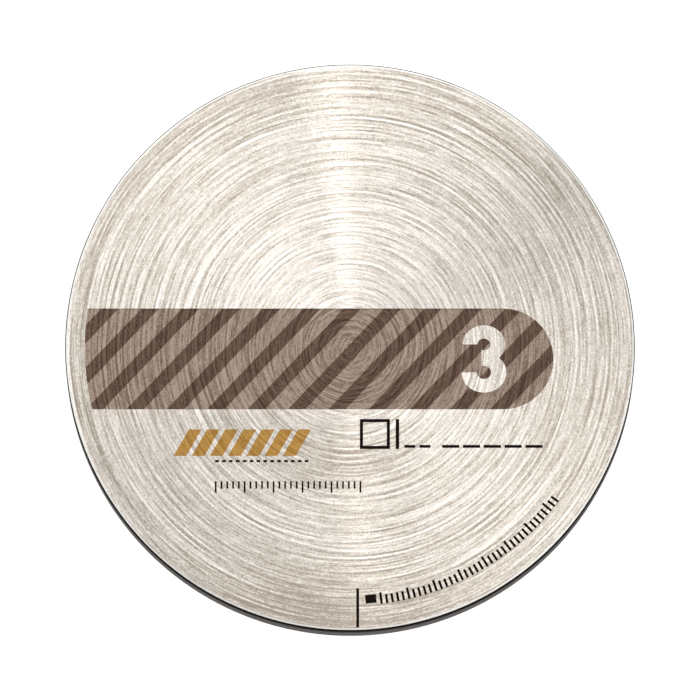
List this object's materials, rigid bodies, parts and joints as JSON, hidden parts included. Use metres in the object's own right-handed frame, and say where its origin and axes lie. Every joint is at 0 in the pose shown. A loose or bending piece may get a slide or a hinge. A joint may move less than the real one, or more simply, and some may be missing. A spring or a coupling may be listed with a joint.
{
  "type": "dental milling disc",
  "caption": "Round solid metal blank for milling dental crowns and bridges, with flat brushed faces, chamfered edges and a striped printed band.",
  "frame": {"origin": "centre of the underside, which the disc lies on", "axes": "+Z along the disc's axis, out of the printed face; +X to the right and +Y to the top of the print as it is read"},
  "size_m": [0.0984, 0.0984, 0.01],
  "materials": {
    "brushed_alloy": "circular brushed, satin"
  },
  "bodies": {
    "root": {"milling_disc": "brushed_alloy"}
  },
  "joints": []
}
